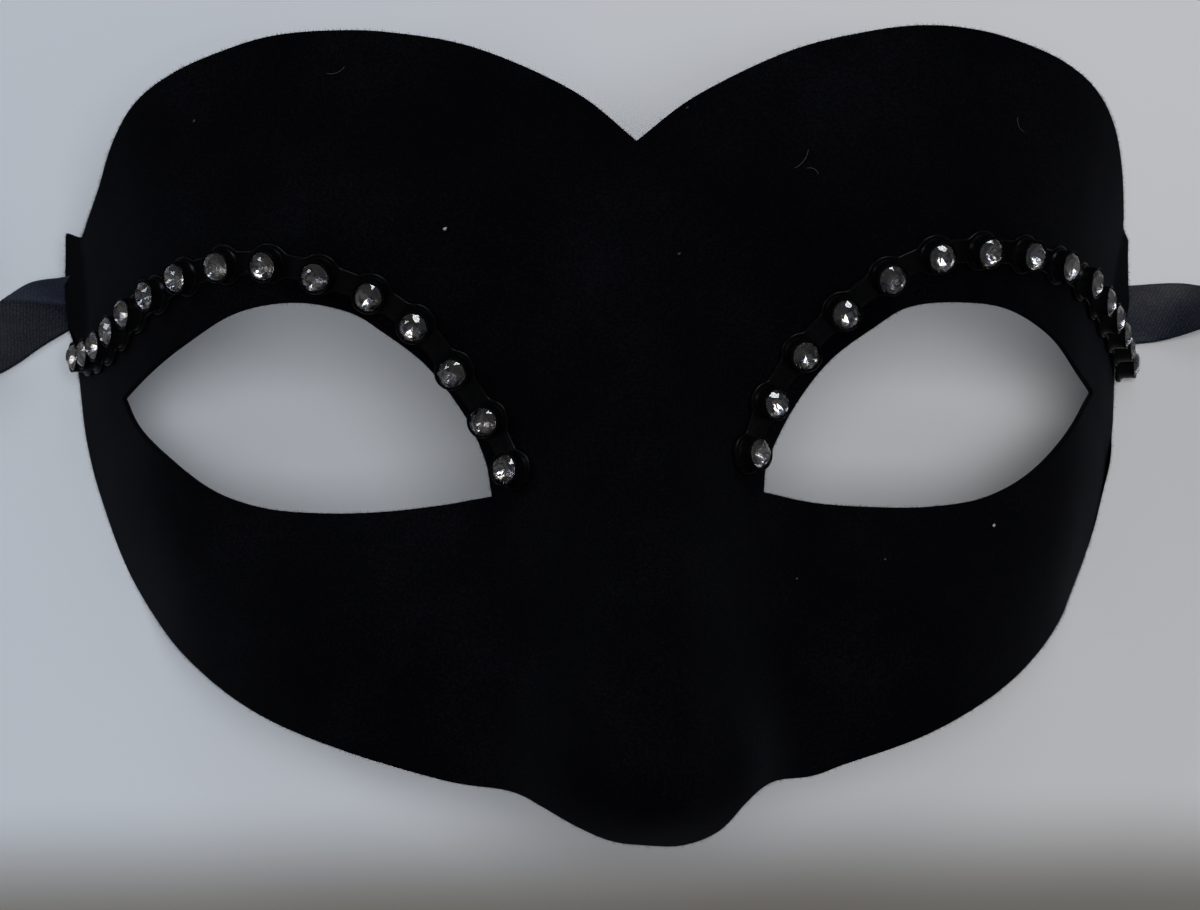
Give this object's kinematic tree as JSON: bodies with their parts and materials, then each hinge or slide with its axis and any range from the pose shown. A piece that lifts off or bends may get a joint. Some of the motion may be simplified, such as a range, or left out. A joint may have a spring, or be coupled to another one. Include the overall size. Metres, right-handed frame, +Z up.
{
  "type": "masquerade eye mask",
  "caption": "Black flocked half mask with a moulded nose, a banding of clear round stones along each brow and a black ribbon tie at each temple, lying on its back.",
  "frame": {"origin": "middle of the mask's bounding box, on the surface that its temple rims rest on", "axes": "+Z up, out of the mask's face; +Y to the forehead; +X to the right of somebody looking at the face; its plane of symmetry is X = -0.7 mm, as its right side is cut a little wider"},
  "size_m": [0.3324, 0.1284, 0.0621],
  "materials": {
    "flock": "short black flocking on formed plastic, very matte",
    "banding": "moulded black plastic, satin gloss",
    "stone": "faceted clear stone with a foil back",
    "ribbon": "black satin ribbon with fine ribs"
  },
  "bodies": {
    "root": {"mask_shell": "flock", "trim_strip_left": "banding", "trim_strip_right": "banding", "stone_left_01": "stone", "stone_left_02": "stone", "stone_left_03": "stone", "stone_left_04": "stone", "stone_left_05": "stone", "stone_left_06": "stone", "stone_left_07": "stone", "stone_left_08": "stone", "stone_left_09": "stone", "stone_left_10": "stone", "stone_left_11": "stone", "stone_left_12": "stone", "stone_left_13": "stone", "stone_left_14": "stone", "stone_left_15": "stone", "stone_right_01": "stone", "stone_right_02": "stone", "stone_right_03": "stone", "stone_right_04": "stone", "stone_right_05": "stone", "stone_right_06": "stone", "stone_right_07": "stone", "stone_right_08": "stone", "stone_right_09": "stone", "stone_right_10": "stone", "stone_right_11": "stone", "stone_right_12": "stone", "stone_right_13": "stone", "stone_right_14": "stone", "stone_right_15": "stone", "ribbon_left": "ribbon", "ribbon_left_roll": "ribbon", "ribbon_right": "ribbon", "ribbon_right_roll": "ribbon"}
  },
  "joints": []
}
